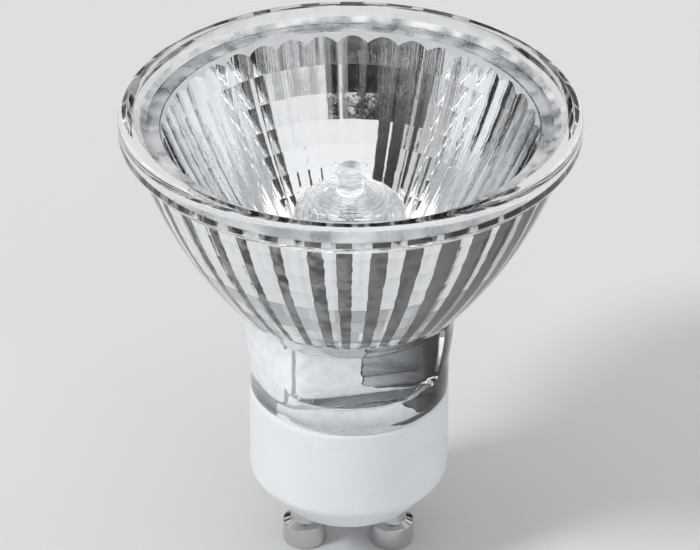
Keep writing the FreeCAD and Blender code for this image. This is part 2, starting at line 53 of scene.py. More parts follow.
light_panels = (
    # name, azimuth from and to, elevation from and to, level
    ("ceiling", -180.0, 180.0, 46.0, 90.0, 0.70),
    ("top softbox", -180.0, 180.0, 60.0, 90.0, 1.50),
    ("front sky", -95.0, 60.0, 23.0, 48.0, 0.80),
    ("bright sky over the camera", -22.0, 58.0, 23.0, 46.0, 1.10),
    ("joint in the sky at the right", 37.0, 41.0, 30.0, 60.0, 0.10),
    ("joint over the camera", -13.0, -10.0, 37.0, 60.0, 0.25),
    ("joint right of the camera", 19.0, 22.0, 39.0, 60.0, 0.25),
    ("joint at the left", -62.0, -57.0, 24.0, 60.0, 0.12),
    ("joint at the far left", -74.0, -68.0, 24.0, 60.0, 0.10),
    ("flag over the card", -45.0, -24.0, 21.0, 35.0, 0.06),
    ("left wall", -72.0, -52.0, -60.0, 23.0, 0.70),
    ("gap in the left wall", -78.0, -72.0, -60.0, 30.0, 0.04),
    ("bright end of the left wall", -95.0, -78.0, -60.0, 30.0, 1.00),
    ("gap at the left", -100.0, -95.0, -60.0, 40.0, 0.05),
    ("black card by the camera", -52.0, 6.0, -60.0, 22.0, 0.05),
    ("grey card", 6.0, 15.0, -60.0, 22.0, 0.36),
    ("right wall", 15.0, 48.0, -60.0, 18.0, 0.70),
    ("dark joint in the right wall", 22.0, 26.0, -60.0, 15.0, 0.08),
    ("bright top of the right wall", 15.0, 60.0, 17.0, 24.0, 1.10),
    ("end of the right wall", 48.0, 60.0, -60.0, 12.0, 0.36),
    ("bright end of the right wall", 48.0, 60.0, 12.0, 24.0, 1.05),
    ("gap at the right", 60.0, 74.0, -60.0, 46.0, 0.06),
    ("strip at the right", 74.0, 80.0, -60.0, 46.0, 1.00),
    ("second gap at the right", 80.0, 86.0, -60.0, 46.0, 0.05),
    ("last strip at the right", 86.0, 98.0, -60.0, 46.0, 0.90),
    ("dark back, right", 150.0, 180.0, 8.0, 50.0, 0.03),
    ("dark back, left", -180.0, -150.0, 8.0, 50.0, 0.03),
)
panel_softness = 1.0
slat_pitch = 13.0
slat_share = (0.08, 0.5)
slat_softness = 0.06
slat_levels = (0.08, 0.95)
slat_turns = (98.0, 149.0)
slat_heights = (6.0, 45.0)
studio_gain = 1.12
studio_contrast = 1.2
key_turn = -62.0
key_height = 44.0
key_strength = 1.5
key_softness = 12.0
key_through_glass = 2.9
any_bounce = 0.5


def add_node(tree, kind, inputs=None, **settings):
    """A new node with its settings, and with values or other nodes' sockets on its inputs."""
    made = tree.nodes.new(kind)
    for name, value in settings.items():
        setattr(made, name, value)
    for name, value in (inputs or {}).items():
        if isinstance(value, bpy.types.NodeSocket):
            tree.links.new(value, made.inputs[name])
        else:
            made.inputs[name].default_value = value
    return made


def calculate(tree, operation, *values):
    """The result socket of a Math node."""
    return add_node(tree, "ShaderNodeMath", dict(enumerate(values)), operation=operation).outputs[0]


def remap(tree, value, low, high, to_low=0.0, to_high=1.0, shape="LINEAR"):
    """The result socket of a Map Range node, which stays within its range."""
    inputs = {"Value": value, "From Min": low, "From Max": high, "To Min": to_low, "To Max": to_high}
    return add_node(tree, "ShaderNodeMapRange", inputs, interpolation_type=shape).outputs[0]


def blend(tree, share, first, second):
    """The result socket of the first value where the share is 0, and of the second where it is 1."""
    return calculate(tree, "MULTIPLY_ADD", share, calculate(tree, "SUBTRACT", second, first), first)


def between(tree, value, low, high, soft):
    """A mask that is 1 from low to high and falls to 0 over a soft edge outside them."""
    rise = remap(tree, value, low - soft, low, shape="SMOOTHSTEP")
    fall = remap(tree, value, high, high + soft, 1.0, 0.0, "SMOOTHSTEP")
    return calculate(tree, "MULTIPLY", rise, fall)


def light_the_studio():
    """The world: softboxes by direction for all that lights the lamp, a plain pale tone for the eye.

    Mirror and glass see the softboxes with more contrast than matt surfaces do. What is matt and stands
    behind glass sees one bright level, as the key light isn't carried through glass.
    """
    world = bpy.data.worlds.new("studio")
    bpy.context.scene.world = world
    world.use_nodes = True
    tree = world.node_tree
    tree.nodes.clear()
    way = add_node(tree, "ShaderNodeTexCoord").outputs["Generated"]
    apart = add_node(tree, "ShaderNodeSeparateXYZ", {0: way})
    behind = calculate(tree, "MULTIPLY", apart.outputs["Y"], -1.0)
    turn = calculate(tree, "DEGREES", calculate(tree, "ARCTAN2", apart.outputs["X"], behind))
    height = calculate(tree, "DEGREES", calculate(tree, "ARCSINE", apart.outputs["Z"]))
    level = room_level
    for _, left, right, bottom, top, brightness in light_panels:
        across = between(tree, turn, left, right, panel_softness)
        upright = between(tree, height, bottom, top, panel_softness)
        level = blend(tree, calculate(tree, "MULTIPLY", across, upright), level, brightness)
    pitches = calculate(tree, "DIVIDE", calculate(tree, "ADD", turn, 360.0), slat_pitch)
    slat = between(tree, calculate(tree, "FRACT", pitches), *slat_share, slat_softness)
    slats = blend(tree, slat, *slat_levels)
    back = between(tree, calculate(tree, "ABSOLUTE", turn), *slat_turns, panel_softness)
    shown = calculate(tree, "MULTIPLY", back, between(tree, height, *slat_heights, panel_softness))
    level = blend(tree, shown, level, slats)
    ray = add_node(tree, "ShaderNodeLightPath")
    matt = calculate(tree, "GREATER_THAN", ray.outputs["Diffuse Depth"], any_bounce)
    crisp = calculate(tree, "MULTIPLY", calculate(tree, "POWER", level, studio_contrast), studio_gain)
    level = blend(tree, matt, crisp, level)
    behind_glass = calculate(tree, "MULTIPLY", matt, ray.outputs["Is Transmission Ray"])
    level = blend(tree, behind_glass, level, key_through_glass)
    lit = add_node(tree, "ShaderNodeCombineColor", {0: level, 1: level, 2: level})
    studio = add_node(tree, "ShaderNodeBackground", {"Color": lit.outputs[0]})
    backdrop = add_node(tree, "ShaderNodeBackground", {"Color": (*backdrop_colour, 1)})
    bounces = calculate(tree, "ADD", ray.outputs["Glossy Depth"], ray.outputs["Diffuse Depth"])
    unbounced = calculate(tree, "LESS_THAN", bounces, any_bounce)
    through = calculate(tree, "MULTIPLY", ray.outputs["Is Transmission Ray"], unbounced)
    seen = calculate(tree, "MAXIMUM", ray.outputs["Is Camera Ray"], through)
    mixed = add_node(tree, "ShaderNodeMixShader", {0: seen, 1: studio.outputs[0], 2: backdrop.outputs[0]})
    add_node(tree, "ShaderNodeOutputWorld", {"Surface": mixed.outputs[0]})


def add_object(name, data):
    """A new object in the scene."""
    made = bpy.data.objects.new(name, data)
    bpy.context.scene.collection.objects.link(made)
    return made


def hang_key_light():
    """A distant soft lamp at the left, out of the mirror's sight, that gives the lamp its shadow."""
    data = bpy.data.lights.new("key", "SUN")
    data.energy = key_strength
    data.angle = math.radians(key_softness)
    key = add_object("key", data)
    turn = Matrix.Rotation(math.radians(key_turn), 4, "Z")
    key.matrix_world = turn @ Matrix.Rotation(math.pi / 2 - math.radians(key_height), 4, "X")
    key.visible_glossy = False
    key.visible_transmission = False


def set_up_camera():
    """A long lens in front of the lamp that looks down at it, rolled a little about its line of sight."""
    tilt = math.radians(camera_tilt)
    data = bpy.data.cameras.new("camera")
    data.sensor_width = camera_sensor
    data.lens = camera_lens
    camera = add_object("camera", data)
    away = Vector((0.0, -math.cos(tilt), math.sin(tilt)))
    turn = Matrix.Rotation(math.pi / 2 - tilt, 4, "X")
    roll = Matrix.Rotation(math.radians(camera_roll), 4, "Z")
    camera.matrix_world = Matrix.Translation(aim + away * camera_distance) @ turn @ roll
    bpy.context.scene.camera = camera


def finish(name, sockets):
    """A new material with plain values on its Principled shader's own sockets."""
    made = bpy.data.materials.new(name)
    made.use_nodes = True
    for socket, value in sockets.items():
        made.node_tree.nodes["Principled BSDF"].inputs[socket].default_value = value
    return made


def grid_of_quads(rows, columns, wrap_rows=False):
    """The corner numbers of the quads between rows of points, each row closed on itself."""
    row = np.arange(rows if wrap_rows else rows - 1)[:, None]
    column = np.arange(columns)[None, :]
    after = (row + 1) % rows
    beside = (column + 1) % columns
    row, after = row * columns, after * columns
    corners = [row + column, row + beside, after + beside, after + column]
    return np.stack(np.broadcast_arrays(*corners), axis=-1).reshape(-1, 4)


def make_piece(name, points, quads, materials, sharp=35.0):
    """An object of one mesh. Points that meet, as at a pole, are merged. Edges over the angle stay sharp."""
    mesh = bpy.data.meshes.new(name)
    mesh.from_pydata(points.reshape(-1, 3).tolist(), [], quads.tolist())
    for material in materials:
        mesh.materials.append(material)
    weld(mesh)
    smooth(mesh, sharp)
    return add_object(name, mesh)


def weld(mesh):
    """Merges points that lie on each other, as at a pole."""
    shape = bmesh.new()
    shape.from_mesh(mesh)
    bmesh.ops.remove_doubles(shape, verts=shape.verts, dist=1e-7)
    shape.to_mesh(mesh)
    shape.free()


def smooth(mesh, sharp):
    """Shades a mesh round, but for edges over an angle in degrees."""
    mesh.polygons.foreach_set("use_smooth", np.ones(len(mesh.polygons), bool))
    mesh.set_sharp_from_angle(angle=math.radians(sharp))


def full_turn(count):
    """Angles that share out a whole turn evenly."""
    return np.linspace(0, 2 * math.pi, count, endpoint=False)


def unit(vectors):
    """The vectors, each at a length of 1."""
    return vectors / np.linalg.norm(vectors, axis=-1, keepdims=True)


def around(radius, height, angles):
    """A ring of points at the angles: x and y from the radius, which may change with the angle."""
    radius, height, angles = np.broadcast_arrays(radius, height, angles)
    return np.stack([radius * np.cos(angles), radius * np.sin(angles), height], axis=-1)


def turned(profile, columns=160):
    """The points and quads that an outline of radius and height makes when turned about the axis."""
    angles = full_turn(columns)
    rings = np.stack([around(radius, height, angles) for radius, height in profile])
    return rings, grid_of_quads(len(profile), columns)


def rounded(corner_before, corner, corner_after, radius, steps=6):
    """The points of an arc that rounds a corner of an outline, tangent to both of its sides."""
    before, turn, after = (np.array(point, float) for point in (corner_before, corner, corner_after))
    come, go = unit(before - turn), unit(after - turn)
    half = math.acos(np.clip(come @ go, -1, 1)) / 2
    centre = turn + unit(come + go) * radius / math.sin(half)
    first = turn + come * radius / math.tan(half) - centre
    last = turn + go * radius / math.tan(half) - centre
    share = np.linspace(0, 1, steps + 1)[:, None]
    sweep = math.pi - 2 * half
    arc = (np.sin((1 - share) * sweep) * first + np.sin(share * sweep) * last) / math.sin(sweep)
    return [tuple(point) for point in centre + arc]


floor_rings, floor_quads = turned([(floor_radius, 0.0), (0.0, 0.0)], 96)
floor_finish = finish("studio floor", {"Base Color": (*floor_colour, 1), "Roughness": 0.65})
floor = make_piece("floor", floor_rings, floor_quads, [floor_finish])
set_up_camera()
light_the_studio()
hang_key_light()
bpy.context.scene.view_settings.view_transform = "Standard"

# Ceramic base: a cup of pressed and fired white steatite with a thin satin glaze. Its foot is
# chamfered, its floor has a hole for each pin, and the glass neck is cemented into it.
base_radius = 0.0112
base_bottom = 0.00725
base_top = 0.0220
base_floor = 0.01045
foot_radius = 0.0080
chamfer_top = 0.0110
recess_radius = 0.0097
recess_floor_radius = 0.0081
recess_taper = 0.0016
foot_fillet = 0.0005
chamfer_fillet = 0.0016
lip_fillet = 0.0007
drill_overrun = 0.001
pin_pitch = 0.010
pin_hole_radius = 0.0017
trapped_after = 3.5
noise_range = (0.3, 0.7)
speck_range = (0.36, 0.62)
swell_part = 0.6


def new_group(name, inputs, outputs):
    """A node group with sockets of the given kinds, and what is given to it by name."""
    group = bpy.data.node_groups.new(name, "ShaderNodeTree")
    for way, sockets in (("INPUT", inputs), ("OUTPUT", outputs)):
        for socket, kind in sockets.items():
            group.interface.new_socket(socket, in_out=way, socket_type=f"NodeSocket{kind}")
    return group, group.nodes.new("NodeGroupInput").outputs


def put_out(group, sockets):
    """Links sockets to the outputs of a group, and gives the group back."""
    out = group.nodes.new("NodeGroupOutput")
    for name, socket in sockets.items():
        group.links.new(socket, out.inputs[name])
    return group


def noise_at(tree, place, scale, detail):
    """Smooth noise at a place, from 0 to 1."""
    inputs = {"Vector": place, "Scale": scale, "Detail": detail}
    return add_node(tree, "ShaderNodeTexNoise", inputs).outputs[0]


def mix_tones(tree, share, first, second):
    """The first colour where the share is 0, the second where it is 1."""
    return add_node(tree, "ShaderNodeMix", {0: share, 6: first, 7: second}, data_type="RGBA").outputs[2]


def fine_grain_group():
    """A shared effect: fired or cast grain, as small specks and as low swells, in the piece's own space."""
    group, given = new_group(
        "fine grain",
        {
            "Grain Size": "Float",
            "Swell Size": "Float",
            "Light Tone": "Color",
            "Dark Tone": "Color",
            "Smoothest": "Float",
            "Roughest": "Float",
        },
        {"Tone": "Color", "Roughness": "Float", "Height": "Float"},
    )
    place = add_node(group, "ShaderNodeTexCoord").outputs["Object"]
    grain = noise_at(group, place, calculate(group, "DIVIDE", 1.0, given["Grain Size"]), 3.0)
    swell = noise_at(group, place, calculate(group, "DIVIDE", 1.0, given["Swell Size"]), 2.0)
    fine = calculate(group, "MULTIPLY", grain, 1 - swell_part)
    both = calculate(group, "MULTIPLY_ADD", swell, swell_part, fine)
    speck = remap(group, both, *speck_range)
    tone = mix_tones(group, speck, given["Dark Tone"], given["Light Tone"])
    dull = remap(group, grain, *noise_range, given["Smoothest"], given["Roughest"])
    return put_out(group, {"Tone": tone, "Roughness": dull, "Height": both})


fine_grain = fine_grain_group()


def glow_when_trapped(material, level):
    """Stands in for light that is caught in thick glass, and that is dropped after its last reflection."""
    tree = material.node_tree
    shader = tree.nodes["Principled BSDF"]
    depth = add_node(tree, "ShaderNodeLightPath").outputs["Glossy Depth"]
    caught = calculate(tree, "MULTIPLY", calculate(tree, "GREATER_THAN", depth, trapped_after), level)
    tone = add_node(tree, "ShaderNodeCombineColor", {0: caught, 1: caught, 2: caught})
    tree.links.new(tone.outputs[0], shader.inputs["Emission Color"])
    shader.inputs["Emission Strength"].default_value = 1.0


def apply_effect(material, group, values, depth, feeds):
    """Places a shared effect in a material. Its outputs feed the shader, its height a bump of that depth."""
    tree = material.node_tree
    shader = tree.nodes["Principled BSDF"]
    placed = add_node(tree, "ShaderNodeGroup", node_tree=group)
    for name, value in values.items():
        placed.inputs[name].default_value = value
    for output, socket in feeds.items():
        tree.links.new(placed.outputs[output], shader.inputs[socket])
    height = placed.outputs["Height"]
    relief = add_node(tree, "ShaderNodeBump", {"Height": height, "Distance": depth, "Strength": 1.0})
    tree.links.new(relief.outputs[0], shader.inputs["Normal"])


def add_grain(material, sizes, light, dark, dull, depth):
    """Places the fine grain: sizes of grain and swell, two tones, least and most roughness, and depth."""
    values = {
        "Grain Size": sizes[0],
        "Swell Size": sizes[1],
        "Light Tone": (*light, 1),
        "Dark Tone": (*dark, 1),
        "Smoothest": dull[0],
        "Roughest": dull[1],
    }
    apply_effect(material, fine_grain, values, depth, {"Tone": "Base Color", "Roughness": "Roughness"})


def ceramic_outline():
    """The cup's outline from the middle of its foot, up the outside, over the lip and down to the floor."""
    foot = (foot_radius, base_bottom)
    side_foot = (base_radius, chamfer_top)
    lip_out = (base_radius, base_top)
    lip_in = (recess_radius, base_top)
    return [
        (0.0, base_bottom),
        (foot_radius * 0.5, base_bottom),
        *rounded((0, base_bottom), foot, side_foot, foot_fillet),
        *rounded(foot, side_foot, lip_out, chamfer_fillet, 10),
        (base_radius, 0.0150),
        (base_radius, 0.0190),
        *rounded(side_foot, lip_out, lip_in, lip_fillet, 8),
        *rounded(lip_out, lip_in, (recess_radius, base_floor), 0.0002, 3),
        (recess_radius, base_floor + recess_taper),
        (recess_floor_radius, base_floor),
        (0.0, base_floor),
    ]


def drill(piece, radius, x, bottom, top):
    """Cuts a round hole along Z through a piece."""
    bore_rings, bore_quads = turned([(0, bottom), (radius, bottom), (radius, top), (0, top)], 48)
    bore = make_piece("bore", bore_rings + np.array([x, 0, 0]), bore_quads, [])
    cut = piece.modifiers.new("hole", "BOOLEAN")
    cut.operation = "DIFFERENCE"
    cut.object = bore
    drilled = bpy.data.meshes.new_from_object(piece.evaluated_get(bpy.context.evaluated_depsgraph_get()))
    piece.modifiers.clear()
    bpy.data.objects.remove(bore)
    piece.data = drilled
    smooth(piece.data, 35.0)


ceramic = finish("fired ceramic", {"Specular IOR Level": 0.5, "Coat Weight": 0.15, "Coat Roughness": 0.22})
add_grain(
    ceramic,
    sizes=(0.00035, 0.0045),
    light=(0.845, 0.865, 0.885),
    dark=(0.815, 0.838, 0.862),
    dull=(0.36, 0.48),
    depth=0.000012,
)
cup_rings, cup_quads = turned(ceramic_outline())
cup = make_piece("ceramic_cup", cup_rings, cup_quads, [ceramic])
for side in (-1, 1):
    hole_bottom, hole_top = base_bottom - drill_overrun, base_floor + drill_overrun
    drill(cup, pin_hole_radius, side * pin_pitch / 2, hole_bottom, hole_top)
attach(cup, "root")
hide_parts("ceramic_base")

# Contact pins: turned brass, nickel-plated and bright, each with a head that locks in the holder and a
# thinner neck. They pass through the ceramic floor and are riveted over a steel washer.
head_radius = 0.0025
head_height = 0.00305
neck_radius = 0.0016
pin_top = 0.01135
pin_bore_radius = 0.0006
pin_bore_bottom = 0.00175
washer_top = 0.01085
lip_radius = 0.0022
shoulder_drop = 0.00035
touch_gap = 0.00001


def turning_marks_group():
    """A shared effect: the fine rings or streaks that turning, drawing or pressing leaves along one way.

    Noise in the piece's own space, squeezed by a scale of its own in each direction.
    """
    group, given = new_group(
        "tool marks",
        {"Stretch": "Vector", "Smoothest": "Float", "Roughest": "Float"},
        {"Roughness": "Float", "Height": "Float"},
    )
    place = add_node(group, "ShaderNodeTexCoord").outputs["Object"]
    squeezed = add_node(group, "ShaderNodeVectorMath", {0: place, 1: given["Stretch"]}, operation="MULTIPLY")
    marks = noise_at(group, squeezed.outputs[0], 1.0, 4.0)
    dull = remap(group, marks, *noise_range, given["Smoothest"], given["Roughest"])
    return put_out(group, {"Roughness": dull, "Height": marks})


tool_marks = turning_marks_group()


def add_marks(material, stretch, depth, dull=None):
    """Places the tool marks. Without a least and a most roughness they are relief alone, as on glass."""
    values = {"Stretch": stretch}
    feeds = {}
    if dull:
        values.update({"Smoothest": dull[0], "Roughest": dull[1]})
        feeds = {"Roughness": "Roughness"}
    apply_effect(material, tool_marks, values, depth, feeds)


def pin_outline():
    """A pin's outline from the middle of its foot up to the rivet lip and down into its bore."""
    foot = (head_radius, 0.0)
    shoulder = (head_radius, head_height - shoulder_drop)
    seat = (neck_radius, head_height)
    lip_bottom = washer_top + touch_gap
    lip_edge = (lip_radius + 0.0001, lip_bottom + 0.0001)
    return [
        (0.0, 0.0),
        (head_radius * 0.48, 0.0),
        *rounded((0, 0), foot, shoulder, 0.0003, 6),
        *rounded(foot, shoulder, seat, 0.00012, 4),
        *rounded(shoulder, seat, (neck_radius, pin_top), 0.00015, 4),
        (neck_radius, 0.0060),
        (neck_radius, lip_bottom),
        (lip_radius, lip_bottom),
        *rounded((lip_radius, lip_bottom), lip_edge, (neck_radius, pin_top), 0.00008, 2),
        (neck_radius, pin_top),
        (pin_bore_radius, pin_top),
        (pin_bore_radius, pin_bore_bottom),
        (0.0, pin_bore_bottom),
    ]


nickel = finish("bright nickel", {"Base Color": (0.62, 0.625, 0.63, 1), "Metallic": 1.0})
add_marks(nickel, (120.0, 120.0, 9000.0), 0.0000012, dull=(0.07, 0.16))
pin_rings, pin_quads = turned(pin_outline(), 96)
for name, side in (("left", -1), ("right", 1)):
    place = np.array([side * pin_pitch / 2, 0, 0])
    pin = make_piece(f"plated_pin_{name}", pin_rings + place, pin_quads, [nickel])
    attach(pin, "root")
    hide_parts(f"contact_pin_{name}")

# Pin washers: thin steel rings, stamped and zinc-plated, between the ceramic floor and the rivet lips.
zinc = finish("zinc-plated steel", {"Base Color": (0.62, 0.64, 0.66, 1), "Metallic": 1.0})
add_marks(zinc, (2500.0, 900.0, 900.0), 0.000003, dull=(0.26, 0.42))


def dress(node, material):
    """Gives a CAD node its finish, where its own shape is right as it is."""
    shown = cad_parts[node]
    shown.data.materials.clear()
    shown.data.materials.append(material)


for name in ("left", "right"):
    dress(f"pin_washer_{name}", zinc)

# Quartz capsule: a drawn tube, its foot pressed flat round the foils while soft, its top domed by flame
# round the exhaust tip, which is melted shut. Drawing and flame leave soft rings and waves.
neck_turn = math.radians(12.7)
capsule_bottom = 0.0357
capsule_radius = 0.00625
capsule_wall = 0.00095
shoulder_radius = 0.0017
tube_bottom = 0.0374
tube_top = 0.0417
dome_height = 0.0041
dome_squareness = 2.9
ripple_height = 0.00003
ripple_length = 0.00055
ripple_waver = 0.6
tip_radius = 0.0015
tip_top = 0.0493
pinch_bottom = 0.0238
pinch_half_width = 0.0055
pinch_half_depth = 0.0016
pinch_corner = 0.0007
pinch_heights = (0.0270, 0.0300, 0.0325)
pinch_top = 0.0343
cavity_bottom = 0.0367
dome_shoulder = 0.72
stem_fillet = 0.0004
tip_fillet = 0.0009
capsule_columns = 144


def bar_radius(angles, half_width, half_depth, corner):
    """How far a rounded rectangle reaches from its middle at each angle: flat sides or corner arcs."""
    across, along = np.abs(np.sin(angles)), np.abs(np.cos(angles))
    inner_width, inner_depth = half_width - corner, half_depth - corner
    to_end = half_width / np.maximum(along, 1e-9)
    to_side = half_depth / np.maximum(across, 1e-9)
    toward = inner_width * along + inner_depth * across
    reach = inner_width**2 + inner_depth**2 - corner**2
    to_corner = toward + np.sqrt(np.maximum(toward**2 - reach, 0))
    on_end = to_end * across <= inner_depth
    on_side = to_side * along <= inner_width
    return np.where(on_end, to_end, np.where(on_side, to_side, to_corner))


def bar_angles(count, half_width, half_depth):
    """Angles that share out a flat bar's outline evenly: those of a circle, squeezed to its proportions."""
    even = full_turn(count)
    return np.arctan2(half_depth * np.sin(even), half_width * np.cos(even)) % (2 * math.pi)


def capsule_outside():
    """Rings from the pinch's end to the tip: a flat bar that swells into a circle, a tube, a dome, a nub."""
    even = full_turn(capsule_columns)
    flat = bar_angles(capsule_columns, pinch_half_width, pinch_half_depth)
    flat_reach = bar_radius(flat, pinch_half_width, pinch_half_depth, pinch_corner)
    rings = []

    def add(radius, height, angles=even):
        rings.append(around(radius, height, angles + neck_turn))

    add(0.0, pinch_bottom, flat)
    for inset, rise in ((0.0006, 0.0), (0.0001, 0.0003), (0.0, 0.0008)):
        add(flat_reach - inset, pinch_bottom + rise, flat)
    for height in (*pinch_heights, pinch_top):
        add(flat_reach, height, flat)
    bar_ring = rings[-1]
    swollen_radius = capsule_radius - shoulder_radius
    foot_ring = around(swollen_radius, capsule_bottom, even + neck_turn)
    for share in (0.15, 0.35, 0.6, 0.8, 1.0):
        swell = share * share * (3 - 2 * share)
        ring = bar_ring * (1 - swell) + foot_ring * swell
        ring[:, 2] = pinch_top + (capsule_bottom - pinch_top) * share
        rings.append(ring)
    for step in np.linspace(0, math.pi / 2, 9)[1:]:
        drop = shoulder_radius * math.cos(step)
        add(swollen_radius + shoulder_radius * math.sin(step), tube_bottom - drop)
    for height in np.linspace(tube_bottom, tube_top, 7)[1:]:
        add(capsule_radius, height)
    for radius in capsule_radius * np.cos(np.linspace(0, dome_shoulder, 12)[1:]):
        add(radius, dome_level(radius, capsule_radius, dome_height))
    rippled = np.arange(capsule_radius * math.cos(dome_shoulder), tip_radius + 0.0007, -0.0001)
    for radius in rippled[1:]:
        waver = ripple_waver * np.sin(2 * even)
        wave = np.sin(2 * math.pi * radius / ripple_length + waver) * ripple_height
        add(radius, dome_level(radius, capsule_radius, dome_height) + wave)
    for radius, height in tip_outline():
        add(radius, height)
    return np.stack(rings)


def dome_level(radius, reach, rise):
    """The dome's height at a radius: a superellipse, flatter on top and tighter at its edge than an arc."""
    power = dome_squareness
    return tube_top + rise * (1 - np.minimum(radius / reach, 1) ** power) ** (1 / power)


def tip_outline():
    """The exhaust tip's outline: a small fillet out of the dome, a short stem and a melted round end."""
    dome_top = tube_top + dome_height
    foot = (tip_radius + 0.0012, dome_top - 0.0001)
    stem = (tip_radius, dome_top + 0.0006)
    end = (tip_radius, tip_top)
    return [
        *rounded(foot, (tip_radius, dome_top), stem, stem_fillet, 5),
        (tip_radius * 0.97, dome_top + 0.0014),
        (tip_radius, dome_top + 0.0024),
        *rounded(stem, end, (0, tip_top), tip_fillet, 8),
        (0.0002, tip_top),
        (0.0, tip_top),
    ]


def capsule_inside():
    """Rings of the gas space from its floor up to its dome, a wall's thickness inside the tube."""
    even = full_turn(capsule_columns)
    radius = capsule_radius - capsule_wall
    corner = shoulder_radius - capsule_wall
    outline = [(0.0, cavity_bottom), (radius * 0.5, cavity_bottom)]
    outline += rounded((0, cavity_bottom), (radius, cavity_bottom), (radius, tube_top), corner, 8)
    outline += [(radius, height) for height in np.linspace(cavity_bottom + 0.0015, tube_top, 6)]
    for reach in radius * np.cos(np.linspace(0, math.pi / 2, 22)[1:]):
        outline.append((reach, dome_level(reach, radius, dome_height - capsule_wall)))
    return np.stack([around(reach, height, even) for reach, height in outline])


def two_skins(outside, inside):
    """One mesh of an outer skin and a hollow's skin, whose quads are turned to face into the hollow."""
    outer_quads = grid_of_quads(*outside.shape[:2])
    inner_quads = grid_of_quads(*inside.shape[:2])[:, ::-1] + outside.shape[0] * outside.shape[1]
    points = np.concatenate([outside.reshape(-1, 3), inside.reshape(-1, 3)])
    return points, np.concatenate([outer_quads, inner_quads])


quartz_sockets = {"Transmission Weight": 0.93, "IOR": 1.458, "Roughness": 0.0}
quartz = finish("clear quartz", {"Base Color": (0.985, 0.992, 1.0, 1), **quartz_sockets})
add_marks(quartz, (420.0, 420.0, 1500.0), 0.00002)
glow_when_trapped(quartz, 1.0)
envelope = make_piece("quartz_capsule", *two_skins(capsule_outside(), capsule_inside()), [quartz], 40.0)
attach(envelope, "root")
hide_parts("capsule_envelope")

# Foils and inner leads: strips of molybdenum, a few hundredths thick, sealed in the pinch, with a
# tungsten wire welded on each that carries the filament's end.
molybdenum = finish("molybdenum foil", {"Base Color": (0.58, 0.57, 0.56, 1), "Metallic": 1.0})
add_marks(molybdenum, (3000.0, 3000.0, 300.0), 0.000002, dull=(0.22, 0.36))
tungsten = finish("drawn tungsten", {"Base Color": (0.42, 0.42, 0.43, 1), "Metallic": 1.0})
add_marks(tungsten, (6000.0, 6000.0, 400.0), 0.000002, dull=(0.28, 0.42))
for name in ("left", "right"):
    dress(f"foil_{name}", molybdenum)
    dress(f"inner_lead_{name}", tungsten)

# Filament: tungsten wire wound into a tight coil, bent over a thin hook that stands on the pinch.
# A foot at each end is clamped on its inner lead.
foil_spacing = 0.0058
lead_offset = 0.00035
lead_top = 0.0383
filament_apex = 0.04286
filament_stub = 0.0007
filament_bends = (0.0007, 0.0010, 0.0007)
coil_outside = 0.00045
coil_wire = 0.00010
coil_pitch = 0.00030


def bent_line(points, bends, spacing):
    """Evenly spaced points along straight runs with an arc of the given radius at each inner point."""
    path = [points[0]]
    for before, turn, after, bend in zip(points, points[1:], points[2:], bends):
        path += rounded(before, turn, after, bend, 12)
    path = np.array(path + [points[-1]], float)
    run = np.concatenate([[0], np.cumsum(np.linalg.norm(np.diff(path, axis=0), axis=1))])
    even = np.arange(0, run[-1], spacing)
    return np.stack([np.interp(even, run, path[:, axis]) for axis in range(3)], axis=1), even


def tube_along(path, guide, radius, sides):
    """Rings of a round wire along a path: at each point a circle square to it, set by a guide direction."""
    forward = unit(np.gradient(path, axis=0))
    side = unit(guide - (guide * forward).sum(1)[:, None] * forward)
    third = np.cross(forward, side)
    angle = full_turn(sides)[None, :, None]
    rings = path[:, None] + radius * (np.cos(angle) * side[:, None] + np.sin(angle) * third[:, None])
    first = np.repeat(path[:1, None], sides, axis=1)
    last = np.repeat(path[-1:, None], sides, axis=1)
    return np.concatenate([first, rings, last])


def wound_coil():
    """A helix about the filament's bent line: off it by the cosine and sine of the turns made so far."""
    foot = foil_spacing / 2
    stub_top = lead_top + filament_stub
    corners = [
        (-foot, lead_offset, lead_top),
        (-foot, lead_offset, stub_top),
        (0, lead_offset, filament_apex),
        (foot, lead_offset, stub_top),
        (foot, lead_offset, lead_top),
    ]
    line, run = bent_line(corners, filament_bends, coil_pitch / 12)
    forward = unit(np.gradient(line, axis=0))
    flat_way = np.array([0.0, 1.0, 0.0])
    upright_way = np.cross(forward, flat_way)
    turns = (2 * math.pi * run / coil_pitch)[:, None]
    guide = np.cos(turns) * flat_way + np.sin(turns) * upright_way
    wound = line + guide * (coil_outside - coil_wire)
    return tube_along(wound, guide, coil_wire, 6)


turn_to_neck = np.array(
    [
        [math.cos(neck_turn), math.sin(neck_turn), 0],
        [-math.sin(neck_turn), math.cos(neck_turn), 0],
        [0, 0, 1],
    ]
)
coil_rings = wound_coil() @ turn_to_neck
coil = make_piece("wound_filament", coil_rings, grid_of_quads(*coil_rings.shape[:2]), [tungsten], 60.0)
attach(coil, "root")
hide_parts("filament")
dress("filament_support", tungsten)

